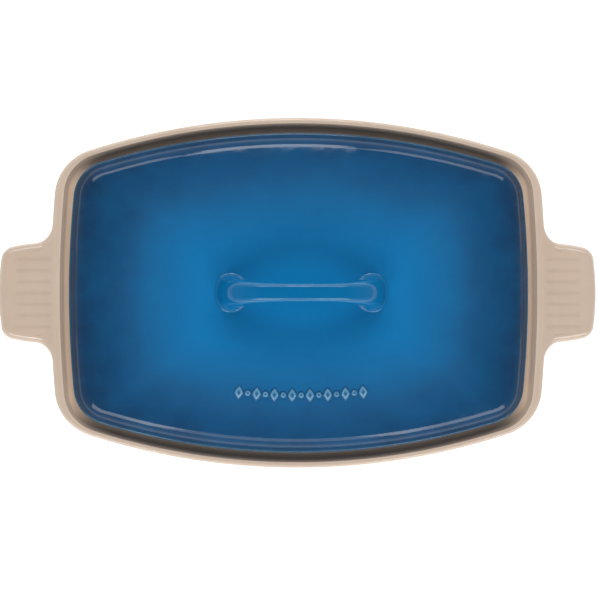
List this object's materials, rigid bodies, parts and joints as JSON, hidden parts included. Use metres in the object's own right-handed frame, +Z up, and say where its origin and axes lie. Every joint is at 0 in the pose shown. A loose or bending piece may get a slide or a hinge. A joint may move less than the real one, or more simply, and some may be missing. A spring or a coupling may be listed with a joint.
{
  "type": "covered baking dish",
  "caption": "Rectangular stoneware baking dish with bulged sides and fluted lug handles, and a domed lid with a loop handle that sits in a gallery inside the rim.",
  "frame": {"origin": "on the table, under the middle of the foot ring", "axes": "+X from the left lug to the right lug, +Y away from the side with the ornament, +Z up"},
  "size_m": [0.375, 0.219, 0.131],
  "materials": {
    "sand_glaze": "gloss sand-coloured glaze",
    "bare_clay": "unglazed, fine-ground",
    "blue_glaze": "gloss blue glaze, darker towards the edge"
  },
  "bodies": {
    "dish": {"dish_bowl": "sand_glaze", "foot_ring": "bare_clay", "left_lug": "sand_glaze", "right_lug": "sand_glaze"},
    "lid": {"lid_shell": "blue_glaze", "lid_handle": "blue_glaze", "lid_ornament": "blue_glaze"}
  },
  "joints": [
    {"name": "lid_lift", "type": "slide", "parent": "dish", "child": "lid", "axis": [0, 0, 1], "range_m": [0, 0.15]}
  ]
}
